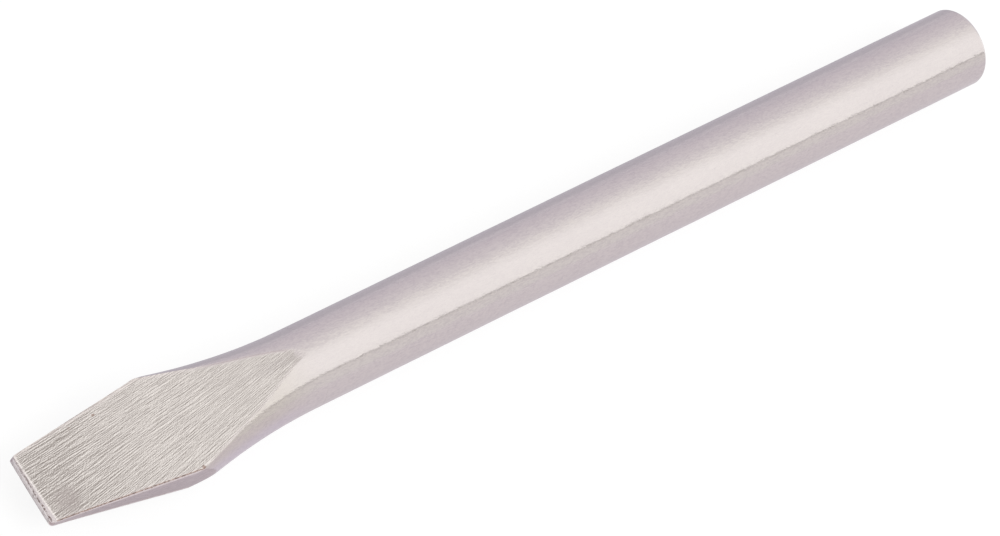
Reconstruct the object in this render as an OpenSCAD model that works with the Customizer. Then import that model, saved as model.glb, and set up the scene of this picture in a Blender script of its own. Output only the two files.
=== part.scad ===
// Flat cold chisel, forged and ground from one length of round bar.
// It lies flat: X runs from the cutting edge to the struck face, Y across the blade, Z up.
// The origin is on the surface it lies on, under the middle of its length.
// The nodes are the forging's zones. They meet face to face and nothing moves.

/* [Bar] */
// Diameter of the round bar
bar_d = 20; // [18:0.5:22]
// Length from the cutting edge to the struck face
length = 300; // [240:5:360]
// Rounding of the struck face's rim
rim_r = 0.8; // [0.4:0.1:2]
// Length of the striking head, the end that is left soft
head_len = 22; // [15:1:40]

/* [Flare] */
// Where the bar begins to widen, from the cutting edge
flare_start = 80; // [79:1:86]
// Radius of the widened sides, seen from above
flare_side_r = 182; // [170:1:200]

/* [Wedge] */
// Length of the two ground wedge faces
wedge_len = 77; // [70:1:78]
// Thickness where the wedge faces end at the edge bevels
web = 2.4; // [1.8:0.1:3]
// Angle of the ground side towards -Y to the bar
near_side_angle = 8; // [7:0.2:9]
// Angle of the ground side towards +Y to the bar
far_side_angle = 5.4; // [5:0.2:7]

/* [Cutting edge] */
// Width of the cutting edge
edge_w = 17.4; // [16:0.1:19]
// How far the edge is ground towards +Y off the bar's axis
edge_offset = 1.4; // [0:0.1:1.6]
// Angle between the two edge bevels
edge_angle = 70; // [60:1:80]
// Width of the blunt land along the edge
edge_land = 1.4; // [0.6:0.1:1.6]
// Length of the hardened end
hard_len = 20; // [12:1:25]
// Length from the edge to the back of the blade, past its shoulders
blade_len = 46; // [45:1:55]

/* [Hidden] */
$fn = 96;

bar_r = bar_d / 2;
bevel_len = (web - edge_land) / 2 / tan(edge_angle / 2);
wedge_slope = (bar_r - web / 2) / (wedge_len - bevel_len);
flare_axis_r = flare_side_r + bar_r;
flare_turn = asin(flare_start / flare_axis_r);
head_start = length - head_len;
// How far a helping shape runs past the faces that cut it
margin = 1;
// How many degrees further than the flare's start the bent bar turns
turn_margin = 1;

forged_grey = [0.80, 0.78, 0.79];
ground_grey = [0.74, 0.71, 0.68];
end_grey = [0.70, 0.68, 0.69];

// Half the thickness between the wedge planes, at a distance x from the edge
function wedge_half(x) = web / 2 + (x - bevel_len) * wedge_slope;

// Puts a shape that is drawn from the edge, around the bar's axis, in its place on the surface
module placed() {
    translate([-length / 2, 0, bar_r]) children();
}

// The space between two planes across the bar, wider and higher than the forging
module stretch(from, to) {
    translate([from, -bar_d, -bar_d]) cube([to - from, 2 * bar_d, 2 * bar_d]);
}

// The space between the wedge planes and between the edge bevels
module wedge_space() {
    upper = [
        [0, edge_land / 2],
        [bevel_len, web / 2],
        [flare_start, wedge_half(flare_start)]
    ];
    lower = [for (i = [len(upper) - 1:-1:0]) [upper[i][0], -upper[i][1]]];
    rotate([90, 0, 0])
        translate([0, 0, -bar_d])
            linear_extrude(2 * bar_d) polygon(concat(upper, lower));
}

// One side of the flattened bar: the round bar, bent towards +Y along an arc
module bent_bar() {
    translate([flare_start, flare_axis_r, 0])
        rotate([0, 0, -90 - flare_turn])
            rotate_extrude(angle = flare_turn + turn_margin, $fn = 720)
                translate([flare_axis_r, 0]) circle(bar_r);
}

// The flat of the blade between the axes of the two bent bars
module blade_core() {
    core_half = wedge_half(blade_len);
    translate([0, 0, -core_half])
        linear_extrude(2 * core_half)
            difference() {
                translate([-margin, -margin]) square([blade_len + 2 * margin, bar_d]);
                translate([flare_start, flare_axis_r]) circle(flare_axis_r, $fn = 720);
            }
}

// The space between the plane through the bar's axis and one ground side
module side_space(edge_half, side_angle) {
    translate([0, 0, -bar_d])
        linear_extrude(2 * bar_d)
            polygon([
                [0, 0],
                [flare_start, 0],
                [flare_start, edge_half + flare_start * tan(side_angle)],
                [0, edge_half]
            ]);
}

// One half of the flattened bar, with its ground side
module flared_half(edge_half, side_angle) {
    intersection() {
        union() {
            bent_bar();
            blade_core();
        }
        side_space(edge_half, side_angle);
    }
}

// The forged and ground end, from the cutting edge to the round shank
module forged_end() {
    intersection() {
        union() {
            flared_half(edge_w / 2 + edge_offset, far_side_angle);
            mirror([0, 1, 0])
                flared_half(edge_w / 2 - edge_offset, near_side_angle);
        }
        wedge_space();
    }
}

// The hardened end with its two bevels and its land
module cutting_edge() {
    color(ground_grey) placed()
        intersection() {
            forged_end();
            stretch(-margin, hard_len);
        }
}

// The tapered blade behind the hardened end, up to and past its shoulders
module blade() {
    color(ground_grey) placed()
        intersection() {
            forged_end();
            stretch(hard_len, blade_len);
        }
}

// The forged change from the flat blade to the round bar
module neck() {
    color(forged_grey) placed()
        intersection() {
            forged_end();
            stretch(blade_len, flare_start);
        }
}

// The plain round bar that the hand holds
module shank() {
    color(forged_grey) placed()
        translate([flare_start, 0, 0])
            rotate([0, 90, 0]) cylinder(h = head_start - flare_start, r = bar_r);
}

// The struck end of the bar, with a rounded rim around its flat face
module striking_head() {
    color(end_grey) placed()
        translate([head_start, 0, 0])
            rotate([0, 90, 0])
                rotate_extrude() {
                    square([bar_r, head_len - rim_r]);
                    square([bar_r - rim_r, head_len]);
                    translate([bar_r - rim_r, head_len - rim_r])
                        intersection() {
                            circle(rim_r);
                            square(rim_r);
                        }
                }
}

cutting_edge();
blade();
neck();
shank();
striking_head();
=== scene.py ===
"""The looks of a flat cold chisel: one forging of round bar, ground at one end and struck at the other.

Each CAD zone of the forging is replaced by a closed mesh of the same zone. The meshes come from one
outline function, so they run on across the borders. Bar space is in millimetres: x from the cutting
edge, y across the blade and z up, both from the bar's axis.
"""

import math

import bpy
from mathutils import Matrix, Vector, noise
from mathutils.bvhtree import BVHTree


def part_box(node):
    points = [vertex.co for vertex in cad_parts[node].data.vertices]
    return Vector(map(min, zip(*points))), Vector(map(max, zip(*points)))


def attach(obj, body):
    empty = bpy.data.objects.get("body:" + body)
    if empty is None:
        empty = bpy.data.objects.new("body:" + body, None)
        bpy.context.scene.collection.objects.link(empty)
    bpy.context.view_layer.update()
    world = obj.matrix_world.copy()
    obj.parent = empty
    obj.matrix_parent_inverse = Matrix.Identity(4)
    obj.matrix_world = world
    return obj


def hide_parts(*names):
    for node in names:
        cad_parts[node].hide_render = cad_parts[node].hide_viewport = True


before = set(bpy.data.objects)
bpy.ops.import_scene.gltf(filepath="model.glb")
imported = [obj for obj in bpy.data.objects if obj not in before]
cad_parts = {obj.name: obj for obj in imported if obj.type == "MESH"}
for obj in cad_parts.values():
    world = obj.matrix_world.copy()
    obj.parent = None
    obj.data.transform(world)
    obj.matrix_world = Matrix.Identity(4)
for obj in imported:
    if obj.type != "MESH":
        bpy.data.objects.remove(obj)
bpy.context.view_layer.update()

# ------------------------------------------------------------------ image points
# Places in the photograph's frame, in its pixels, x to the right and y down.
PICTURE_W, PICTURE_H = 1000, 536
OUTER_EDGES = {"left": 10, "right": 986, "top": 10, "bottom": 525}
FEATURES = {
    "far end of the cutting edge": (14, 456),
    "near end of the cutting edge": (58, 521),
    "far shoulder": (131, 380),
    "near shoulder": (204, 469),
    "tip of the wedge face": (306, 353),
    "wedge face's near edge, halfway": (251, 420),
    "wedge face's far edge, halfway": (212, 364),
    "top of the struck head": (946, 10),
    "right of the struck head": (986, 60),
    "lower corner of the struck head": (978, 80),
}
DULL_PATCHES = {
    "dull patch by the near corner": (68, 500),
    "dull patch at the wedge face's tip": (298, 355),
}
RUST_SPOTS = {
    "rust on the near shoulder": (204, 467),
    "rust freckle by the far side": (93, 415),
    "second rust freckle by the far side": (68, 428),
}

# ------------------------------------------------------------------ sizes, in millimetres and degrees
# Values by side are for the near side at -1 and for the far one at 1.
MM = 0.001
ZONES = ["cutting_edge", "blade", "neck", "shank", "striking_head"]
edge_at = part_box("cutting_edge")[0].x
shank_low, shank_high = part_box("shank")
axis_at = (shank_low.z + shank_high.z) / 2
BAR_R = (shank_high.z - shank_low.z) / 2 / MM
HARD_END, BLADE_END, FLARE_START, HEAD_START, LENGTH = (
    (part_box(zone)[1].x - edge_at) / MM for zone in ZONES
)

# Radius of the flared sides seen from above, and of the bent bar's axis
FLARE_SIDE_R = 182
FLARE_AXIS_R = FLARE_SIDE_R + BAR_R
# The wedge's length, its thickness where it ends at the bevels, and the land's height and bevels' tilt
WEDGE_LEN = 77
WEB = 2.4
EDGE_LAND = 1.6
BEVEL_TILT = 27
BEVEL_LEN = (WEB - EDGE_LAND) / 2 / math.tan(math.radians(BEVEL_TILT))
WEDGE_SLOPE = (BAR_R - WEB / 2) / (WEDGE_LEN - BEVEL_LEN)
# For each millimetre towards the near side, how much longer the bevel gets and how much further out the
# edge stands, and the place across the blade where that is nothing yet
BEVEL_SKEW = 0.05
EDGE_SKEW = 0.05
EDGE_SKEW_FROM = 3.5
# How far the middle of the edge bows out, and how far behind the edge its slant and bow have faded
EDGE_BOW = 0.1
EDGE_SKEW_END = 6
# The ground sides: how far out they start, how they spread, and how much further out they stand for each
# millimetre up
EDGE_HALF = {-1: 7.4, 1: 10.7}
SIDE_TILT = {-1: 7.75, 1: 4.65}
SIDE_LEAN = {-1: 0.06, 1: 0.0}
EDGE_MIDDLE = (EDGE_HALF[1] - EDGE_HALF[-1]) / 2
EDGE_REACH = (EDGE_HALF[1] + EDGE_HALF[-1]) / 2

# How far the near side of a wedge face stands up towards its tip: the height, how far before the tip that
# starts and is complete, and between which places across the blade it fades
TIP_LIFT = 0.53
TIP_LIFT_FROM = 28
TIP_LIFT_FULL = 9
TIP_LIFT_ENDS_Y = (-1.5, 3)

# How far crisp corners of the real forging are worn round
BEVEL_EASE = 0.05
SIDE_EASE = 0.25
LAND_ROUND = 0.1
NOSE_CORNER_R = {-1: 0.9, 1: 0.8}
RIM_R = 0.9
# The corner behind a ground side is worn more below: how much, and how far under the axis that is complete
LOW_SIDE_EASE = 0.5
LOW_SIDE_DEPTH = 6
# How far the long creases of the neck are eased, and where along the bar that starts, is complete, starts
# to fade and ends
NECK_EASE = {-1: 0.35, 1: 0.95}
NECK_EASE_ENDS = (44, 58, 72, 76)
# How far the finish of a corner reaches
CORNER_REACH = 0.6

# The worn corner between a wedge face and a side: its run over the face, how much and over what length that
# run wavers, its tilt, and its outline in shares of the run and of the drop
CHAMFER_RUN = 0.12
CHAMFER_WAVER = 0.25
CHAMFER_WAVE_LEN = 1.3
CHAMFER_TILT = 78
CHAMFER_OUTLINE = ((0.1, 0.06), (0.25, 0.23), (0.75, 0.75), (0.93, 0.94))
# It tapers off where the blade's half thickness is below the first, or less than the second is ground off.
# The third is the share of the run left by the side's lean below which its drop fades
CHAMFER_FULL_TOP = 3.5
CHAMFER_FULL_GROUND = 0.8
CHAMFER_FADES = 0.15
# The least run and drop that a corner keeps, so that no face folds over
HAIR = 0.03

# How many faces run across a wedge face, down a side and round the bar
FLAT_FACES = 96
SIDE_FACES = 34
ROUND_FACES = 144
# How much the faces down a side crowd towards its corners, from 0 to 1
SIDE_CROWDING = 0.75
# Half the angle of the narrow strip of the bar's crown that closes a wedge face off at its tip, and how
# high that strip lies
CROWN_TURN = 1.2
CROWN_Z = BAR_R * math.cos(math.radians(CROWN_TURN))
# Where the ground finish fades: along the bar at a wedge face's tip, and on a side by how much is off it
FLAT_ENDS_X = (WEDGE_LEN - 7, WEDGE_LEN + 1)
GROUND_OFF_ENDS = (-0.05, 0.1)
# Places along the bar that are closer than this are the same
SAME_PLACE = 1e-3

# The grinding marks fan out from a far point behind the neck
FAN_X, FAN_Y = 190, 22.6
FAN_R = 160
GROOVE_DEPTH = 0.01
# How much shallower they are at the tip of the wedge face, and where behind the edge they start
GROOVE_FADE = 0.65
GROOVE_STARTS_X = (0.5, 2)
# Wavelength and height of the unevenness of the forged skin and of the wedge faces
SKIN_WAVES = ((9, 0.02), (3.5, 0.006))
FACE_WAVE = (11, 0.035)
# Chips along the edge: their length and depth, the noise that is no chip yet, and how far they reach
CHIP_LEN = 0.5
CHIP_DEPTH = 0.3
CHIP_LEVEL = 0.1
CHIP_ENDS_X = (0.05, 0.45)
# Size and depth of the pits in the land
PIT_SIZE = 0.9
PIT_DEPTH = 0.08

# The struck face: how far it falls back for each millimetre towards the far side, how far before the bar's
# end that starts and is complete, how much it is crowned, and the size and depth of its dents
HEAD_SKEW = 0.021
HEAD_SKEW_FROM = 8
HEAD_SKEW_FULL = 1
HEAD_CROWN = 0.12
DENT_SIZE = 3.1
DENT_DEPTH = 0.06


# ------------------------------------------------------------------ the forging's shape
def soft_min(a, b, ease):
    """The smaller of a and b, with the crease where they cross eased."""
    return (a + b - math.sqrt((a - b) ** 2 + ease**2)) / 2


def smooth_step(low, high, value):
    """0 below low, 1 above high and an S-shaped way between them."""
    share = min(max((value - low) / (high - low), 0), 1)
    return share * share * (3 - 2 * share)


def drop_off(x, radius):
    """How far a round corner of that radius lies inside its square corner, at x from the end."""
    if x >= radius:
        return 0
    return radius - math.sqrt(radius**2 - (radius - x) ** 2)


def bevel_end(y):
    """How far the bevel reaches from the cutting edge, at a place across the blade."""
    return BEVEL_LEN - BEVEL_SKEW * y


def tip_lift(x, y):
    """How far a wedge face stands above its plane by its tip, on the near side."""
    before = WEDGE_LEN - x
    if before <= 0:
        return 0
    rise = smooth_step(-TIP_LIFT_FROM, -TIP_LIFT_FULL, -before)
    fall = 1 - max(1 - before / TIP_LIFT_FULL, 0) ** 2
    return TIP_LIFT * rise * fall * (1 - smooth_step(*TIP_LIFT_ENDS_Y, y))


def half_thickness(x, y):
    """Half the thickness between the wedge faces, or between the bevels at the very edge."""
    bevel = EDGE_LAND / 2 + x * (WEB - EDGE_LAND) / 2 / bevel_end(y)
    wedge = WEB / 2 + (x - BEVEL_LEN) * WEDGE_SLOPE + tip_lift(x, y)
    return soft_min(bevel, wedge, BEVEL_EASE) - drop_off(x, LAND_ROUND)


def face_height(x, y):
    """Height of a wedge face above the bar's axis. Past its tip it is the bar's crown."""
    top = half_thickness(x, y)
    return top if top < CROWN_Z else math.sqrt(BAR_R**2 - y**2)


def forged_half_width(x, z):
    """Half the width of the flattened bar at height z, before its sides were ground."""
    bar = math.sqrt(max(BAR_R**2 - z**2, 0))
    ahead = max(FLARE_START - x, 0)
    return FLARE_AXIS_R - math.sqrt((FLARE_AXIS_R - bar) ** 2 - ahead**2)


def ground_half_width(x, z, side):
    """Distance of a ground side from the bar's axis."""
    return EDGE_HALF[side] + x * math.tan(math.radians(SIDE_TILT[side])) + SIDE_LEAN[side] * z


def ground_off(x, z, side):
    """How far the grinding of a side went into the flattened bar. Below 0 it didn't reach it."""
    return forged_half_width(x, z) - ground_half_width(x, z, side)


def half_width(x, z, side):
    """Half the width of the finished blade on one side at height z."""
    ease = SIDE_EASE + (LOW_SIDE_EASE - SIDE_EASE) * smooth_step(0, LOW_SIDE_DEPTH, -z)
    width = soft_min(forged_half_width(x, z), ground_half_width(x, z, side), ease)
    return width - drop_off(x, NOSE_CORNER_R[side])


def ripple(x, y, z, length, height):
    """Smooth noise of that wavelength and height at a place in bar space."""
    return height * noise.noise(Vector((x, y, z)) / length)


def runs_out(y):
    """How far the cutting edge stands out in front of a straight one."""
    bow = EDGE_BOW * (1 - ((y - EDGE_MIDDLE) / EDGE_REACH) ** 2)
    return EDGE_SKEW * (EDGE_SKEW_FROM - y) + bow


def crease_ease(x, y):
    """How deep the crease beside a wedge face is rounded off in the neck."""
    start, full, fading, end = NECK_EASE_ENDS
    turn = math.acos(min(half_thickness(x, 0) / BAR_R, 1))
    most = NECK_EASE[1 if y > 0 else -1]
    share = most * smooth_step(start, full, x) * (1 - smooth_step(fading, end, x))
    return share * CORNER_REACH * math.tan(turn / 2)


def streaks(along, across, layer, length, width):
    """Smooth noise drawn out along the fan of the grinding marks."""
    return noise.noise(Vector((along / length, across / width, layer)))


def groove(x, y, z):
    """How deep the grinding marks are at a place on a wedge face, from about -1 to 1."""
    layer = 50 if z > 0 else 90
    along = math.hypot(x - FAN_X, y - FAN_Y)
    across = FAN_R * math.atan2(y - FAN_Y, FAN_X - x)
    across += 0.5 * streaks(along, across, layer, length=5, width=4)
    fine = streaks(along, across, layer, length=5, width=0.5)
    coarse = streaks(along, across, layer + 9, length=9, width=1.3)
    return fine + 0.5 * coarse


def grind_strength(x):
    """The marks are deepest at the edge and fade towards the tip of the wedge face."""
    return 1 - GROOVE_FADE * smooth_step(0, WEDGE_LEN, x)


# The finishes that every point of a mesh has
FINISHES = ("flat", "corner", "ground", "mark")


class Spot:
    """A point of an outline, with the finish it has there."""

    def __init__(self, y, z, flat=0.0, corner=0.0, ground=0.0):
        self.y = y
        self.z = z
        self.flat = flat
        self.corner = corner
        self.ground = ground
        self.mark = 0.0


def corner_run(x, side, up):
    """The broken corner at x, from a wedge face over its small flat and onto the side, as (y, rise)."""
    top = min(half_thickness(x, 0), CROWN_Z)
    width = half_width(x, up * top, side)
    # The height depends on the width and the other way round, so both settle in a few rounds
    for _ in range(7):
        top = min(half_thickness(x, side * width), CROWN_Z)
        width = (width + half_width(x, up * top, side)) / 2
    width = half_width(x, up * top, side)
    waver = CHAMFER_WAVER * noise.noise(Vector((x / CHAMFER_WAVE_LEN, 3 * side, 7)))
    run = CHAMFER_RUN * (1 + waver)
    ground = ground_off(x, up * top, side)
    run *= min(top / CHAMFER_FULL_TOP, 1) * smooth_step(0, CHAMFER_FULL_GROUND, ground)
    # lean is how far the side stands out for each millimetre down. A side that leans out as far as the
    # small flat does leaves no corner, so the flat's height fades before that
    step = 0.02
    lean = max((half_width(x, up * (top - step), side) - width) / step, 0)
    tilt = math.tan(math.radians(CHAMFER_TILT))
    left = 1 - tilt * lean
    cut = max(run * left, HAIR)
    drop = max(smooth_step(0, CHAMFER_FADES, left) * run * tilt, HAIR / max(lean, 1))
    start = width - cut
    end = half_width(x, up * (top - drop), side)
    bend = [(start, top)]
    for share, fall in CHAMFER_OUTLINE:
        bend.append((start + share * (end - start), top - fall * drop))
    low = top - drop * 1.15
    return bend + [(half_width(x, up * low, side), low)]


def corner_nearness(distance):
    """1 at a corner, fading over about a millimetre."""
    return math.exp(-distance / CORNER_REACH)


def face_row(x, up):
    """The outline's points on one wedge face, from the far corner to the near one."""
    near_y = -corner_run(x, -1, up)[0][0]
    far_y = corner_run(x, 1, up)[0][0]
    flat = 1 - smooth_step(*FLAT_ENDS_X, x)
    creased = 1 - smooth_step(*NECK_EASE_ENDS[2:], x)
    row = []
    for step in range(FLAT_FACES + 1):
        y = far_y + (near_y - far_y) * step / FLAT_FACES
        nearness = corner_nearness(min(far_y - y, y - near_y)) * creased
        row.append(Spot(y, up * face_height(x, y), flat=flat, corner=nearness))
    return row


def side_run(x, side):
    """The outline's points from one upper corner down to the lower one on the same side."""
    upper = corner_run(x, side, 1)
    lower = corner_run(x, side, -1)
    high, low = upper[-1][1], -lower[-1][1]
    start, end = math.acos(high / BAR_R), math.acos(low / BAR_R)
    run = [(y, rise, 1.0) for y, rise in upper[1:-1]]
    for step in range(SIDE_FACES + 1):
        even = step / SIDE_FACES
        crowded = (1 - math.cos(math.pi * even)) / 2
        share = (1 - SIDE_CROWDING) * even + SIDE_CROWDING * crowded
        z = BAR_R * math.cos(start + (end - start) * share)
        run.append((half_width(x, z, side), z, corner_nearness(min(high - z, z - low))))
    run += [(y, -rise, 1.0) for y, rise in reversed(lower[1:-1])]
    made = []
    for y, z, near in run:
        ground = smooth_step(*GROUND_OFF_ENDS, ground_off(x, z, side))
        made.append(Spot(side * y, z, corner=near, ground=ground))
    return made


def outline(x):
    """The closed outline of the ground end at x: over the top, down the near side, back below and up."""
    return face_row(x, 1) + side_run(x, -1) + face_row(x, -1)[::-1] + side_run(x, 1)[::-1]


def surfaced(x, spot):
    """A point of the outline with the unevenness of the real surface, as (x, y, z)."""
    y, z = spot.y, spot.z
    skin = sum(ripple(x, y, z, *wave) for wave in SKIN_WAVES)
    reach = math.hypot(y, z)
    out = skin * (1 - spot.flat) - crease_ease(x, y) * spot.corner
    y += out * y / reach
    z += out * z / reach
    if spot.flat:
        spot.mark = groove(x, spot.y, spot.z) * grind_strength(x) * spot.flat
        dip = GROOVE_DEPTH * spot.mark + ripple(x, spot.y, spot.z, *FACE_WAVE) * spot.flat
        z -= math.copysign(dip * smooth_step(*GROOVE_STARTS_X, x), z)
    chip = max(noise.noise(Vector((spot.y / CHIP_LEN, 5, 2 * math.copysign(1, z)))) - CHIP_LEVEL, 0)
    z -= math.copysign(CHIP_DEPTH * chip * (1 - smooth_step(*CHIP_ENDS_X, x)), z) * spot.flat
    return x - runs_out(y) * (1 - smooth_step(0, EDGE_SKEW_END, x)), y, z


def placed(x, y, z):
    """A place in bar space as a place in the frame."""
    return Vector((edge_at + x * MM, y * MM, axis_at + z * MM))


def spread(start, end, step):
    """Even steps of about that length from start to end, both included."""
    count = max(round((end - start) / step), 1)
    return [start + (end - start) * i / count for i in range(count + 1)]


def row_places():
    """Where the rows of points stand along the ground end, close together where its shape turns."""
    nose_end = 1.4
    shoulders_start = 34
    tip_start = 66
    tip_rows = 22
    border_gap = 0.05
    rows = [NOSE_CORNER_R[1] * (1 - math.cos(math.radians(9 * i))) for i in range(5)]
    rows += spread(rows[-1], nose_end, 0.06)
    rows += spread(nose_end, HARD_END, 0.5)
    rows += spread(HARD_END, shoulders_start, 0.5)
    rows += spread(shoulders_start, BLADE_END, 0.3)
    rows += spread(BLADE_END, tip_start, 0.5)
    for i in range(tip_rows):
        rows.append(WEDGE_LEN - (WEDGE_LEN - tip_start) * (i / tip_rows) ** 2)
    rows += spread(WEDGE_LEN, FLARE_START, 0.8)
    for border in (HARD_END, BLADE_END):
        rows += [border - border_gap, border + border_gap]
    rows.append(FLARE_START - border_gap)
    return sorted(set(round(x, 4) for x in rows))


# ------------------------------------------------------------------ meshes
class Shell:
    """Points, faces and finishes of one closed piece."""

    def __init__(self):
        self.points = []
        self.faces = []
        self.materials = []
        self.finishes = {label: [] for label in FINISHES}

    def point(self, place, spot=Spot(0, 0)):
        """Adds a point with the finishes of its spot in the outline, and gives its number."""
        self.points.append(place)
        for label, values in self.finishes.items():
            values.append(getattr(spot, label))
        return len(self.points) - 1

    def face(self, corners, material=0):
        """Adds a face between points, with the number of its material."""
        self.faces.append(corners)
        self.materials.append(material)

    def wall(self, ring, following, material_of):
        """Faces between two rings, of which the second lies further along +X."""
        count = len(ring)
        for i in range(count):
            j = (i + 1) % count
            self.face((ring[i], ring[j], following[j], following[i]), material_of(i))

    def plate(self, ring, outward):
        """Closes a ring with one flat face. outward is 1 at the end towards +X and -1 at the other."""
        self.face(tuple(ring[::outward]))

    def lid(self, ring, outward, material=0):
        """Closes a ring that every point can be seen across, with a fan of faces from its middle."""
        middle = self.point(sum((self.points[i] for i in ring), Vector()) / len(ring))
        for low, high in zip(ring, ring[1:] + ring[:1]):
            self.face((low, high, middle)[::outward], material)

    def piece(self, node, slot):
        """The finished object: smooth but for its square edges, with its finishes as attributes."""
        mesh = bpy.data.meshes.new(node)
        mesh.from_pydata(self.points, [], self.faces)
        for label, found in self.finishes.items():
            values = mesh.attributes.new(label, "FLOAT", "POINT")
            values.data.foreach_set("value", found)
        mesh.polygons.foreach_set("material_index", self.materials)
        mesh.polygons.foreach_set("use_smooth", [True] * len(self.faces))
        mesh.set_sharp_from_angle(angle=math.radians(55))
        made = bpy.data.objects.new(node, mesh)
        bpy.context.scene.collection.objects.link(made)
        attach(made, "root")
        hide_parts(node)
        return made


def outline_material(x, index, y):
    """0 on the wedge faces, 1 on the sides and 2 on the bevels, by a point's place in the outline."""
    half = FLAT_FACES + SIDE_FACES + 2 + 2 * len(CHAMFER_OUTLINE)
    if index % half >= FLAT_FACES or x > WEDGE_LEN:
        return 1
    return 2 if x <= bevel_end(y) else 0


def close_nose(shell, ring):
    """The land along the cutting edge: a grid between the ends of the two bevels."""
    half = len(ring) // 2
    upper = ring[: FLAT_FACES + 1]
    near = ring[FLAT_FACES : half + 1]
    far = [ring[0]] + ring[half + FLAT_FACES :][::-1]
    lower = ring[half : half + FLAT_FACES + 1][::-1]
    high, low = shell.points[near[0]].z, shell.points[near[-1]].z
    rows = [upper]
    for k in range(1, len(near) - 1):
        share = (high - shell.points[near[k]].z) / (high - low)
        row = [far[k]]
        for j in range(1, FLAT_FACES):
            place = shell.points[upper[j]].lerp(shell.points[lower[j]], share)
            place.x += MM * max(noise.noise(place / MM / PIT_SIZE), 0) * PIT_DEPTH
            row.append(shell.point(place, Spot(0, 0, flat=1.0)))
        row.append(near[k])
        rows.append(row)
    rows.append(lower)
    for high_row, low_row in zip(rows, rows[1:]):
        for j in range(FLAT_FACES):
            shell.face((high_row[j], low_row[j], low_row[j + 1], high_row[j + 1]), 2)


def ground_zone(node, start, end, slot):
    """One zone of the ground end, between two places along it."""
    shell = Shell()
    last = None
    for x in row_places():
        if not start - SAME_PLACE <= x <= end + SAME_PLACE:
            continue
        spots = outline(x)
        ring = [shell.point(placed(*surfaced(x, spot)), spot) for spot in spots]
        if last is None and start == 0:
            close_nose(shell, ring)
        elif last is None:
            shell.plate(ring, -1)
        else:
            shell.wall(last, ring, lambda i: outline_material(x, i, spots[i].y))
        last = ring
    if end < FLARE_START:
        shell.plate(last, 1)
    else:
        shell.lid(last, 1)
    return shell.piece(node, slot)


def fallen_back(x, y, z):
    """A place on the head with the struck face's slant across the bar."""
    slant = HEAD_SKEW * (BAR_R + y)
    return x - slant * smooth_step(LENGTH - HEAD_SKEW_FROM, LENGTH - HEAD_SKEW_FULL, x), y, z


def round_places(radius):
    """Places on a circle round the bar's axis as (y, z), in the order that the outline runs."""
    angles = [2 * math.pi * i / ROUND_FACES for i in range(ROUND_FACES)]
    return [(-radius * math.sin(angle), radius * math.cos(angle)) for angle in angles]


def bar_ring(shell, x, radius, corner=0.0):
    """A ring of points round the bar."""
    ring = []
    for y, z in round_places(radius):
        spot = Spot(y, z, corner=corner)
        ring.append(shell.point(placed(*fallen_back(*surfaced(x, spot))), spot))
    return ring


def shank_piece():
    """The plain round bar."""
    shell = Shell()
    rows = [bar_ring(shell, x, BAR_R) for x in spread(FLARE_START, HEAD_START, 2)]
    shell.lid(rows[0], -1)
    for ring, following in zip(rows, rows[1:]):
        shell.wall(ring, following, lambda i: 0)
    shell.lid(rows[-1], 1)
    return shell.piece("shank", "forged_bar")


def struck_x(y, z):
    """The struck face is a little crowned and has a few shallow dents."""
    reach = math.hypot(y, z) / BAR_R
    dents = max(noise.noise(Vector((y / DENT_SIZE, z / DENT_SIZE, 4))), 0) * DENT_DEPTH
    return LENGTH - HEAD_CROWN * reach**2 - dents


def head_piece():
    """The struck end: the bar, its rounded rim and the face that the hammer meets."""
    rim_start = LENGTH - RIM_R
    rim_steps = 8
    face_step = 0.6
    shell = Shell()
    rows = [bar_ring(shell, x, BAR_R) for x in spread(HEAD_START, rim_start - 0.15, 1.4)]
    rows.append(bar_ring(shell, rim_start, BAR_R))
    for i in range(1, rim_steps + 1):
        angle = math.radians(90 * i / rim_steps)
        x = rim_start + (RIM_R - 0.1) * math.sin(angle)
        # How bright the rim is painted: partly wear, partly a painted highlight
        wear_and_painted_light = math.sin(2 * angle)
        rows.append(bar_ring(shell, x, BAR_R - RIM_R + RIM_R * math.cos(angle), corner=wear_and_painted_light))
    shell.lid(rows[0], -1)
    for ring, following in zip(rows, rows[1:]):
        shell.wall(ring, following, lambda i: 0)
    last = rows[-1]
    for radius in spread(BAR_R - RIM_R, face_step, face_step)[1:]:
        ring = [shell.point(placed(*fallen_back(struck_x(y, z), y, z))) for y, z in round_places(radius)]
        shell.wall(last, ring, lambda i: 1)
        last = ring
    shell.lid(last, 1, 1)
    return shell.piece("striking_head", "struck_end")


# ------------------------------------------------------------------ colours and finishes
# Colours are linear. A finish with a light and a dark one goes from one to the other with its marks, as
# painted highlight on their crests and painted shade in their grooves
FORGED_LIGHT = (0.72, 0.68, 0.665)
FORGED_DARK = (0.60, 0.555, 0.57)
SIDE_LIGHT = (0.525, 0.457, 0.462)
SIDE_DARK = (0.425, 0.36, 0.374)
SIDE_STAIN = (0.55, 0.44, 0.41)
NECK_TINT = (0.95, 0.95, 0.91)
NECK_TINT_LOW = (0.97, 0.955, 1.04)
GROUND_LIGHT = (0.82, 0.785, 0.75)
GROUND_DARK = (0.30, 0.27, 0.25)
CORNER_POLISH = (0.78, 0.72, 0.71)
HONED_LIGHT = (0.71, 0.66, 0.66)
HONED_DARK = (0.60, 0.555, 0.56)
# The land's colours by height: painted highlight on its top, its middle, and painted shade on its underside
LAND_TOP = (0.83, 0.79, 0.785)
LAND_MIDDLE = (0.66, 0.62, 0.625)
LAND_UNDER = (0.54, 0.50, 0.51)
FILED_LIGHT = (0.72, 0.685, 0.67)
FILED_DARK = (0.55, 0.515, 0.52)
PIT_DARK = (0.35, 0.31, 0.30)
# Bright wear, which also serves as the painted highlight on the bevel's ridge and the head's rim
WEAR_AND_HIGHLIGHT = (0.93, 0.89, 0.865)
RUST_BROWN = (0.33, 0.20, 0.155)
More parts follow.
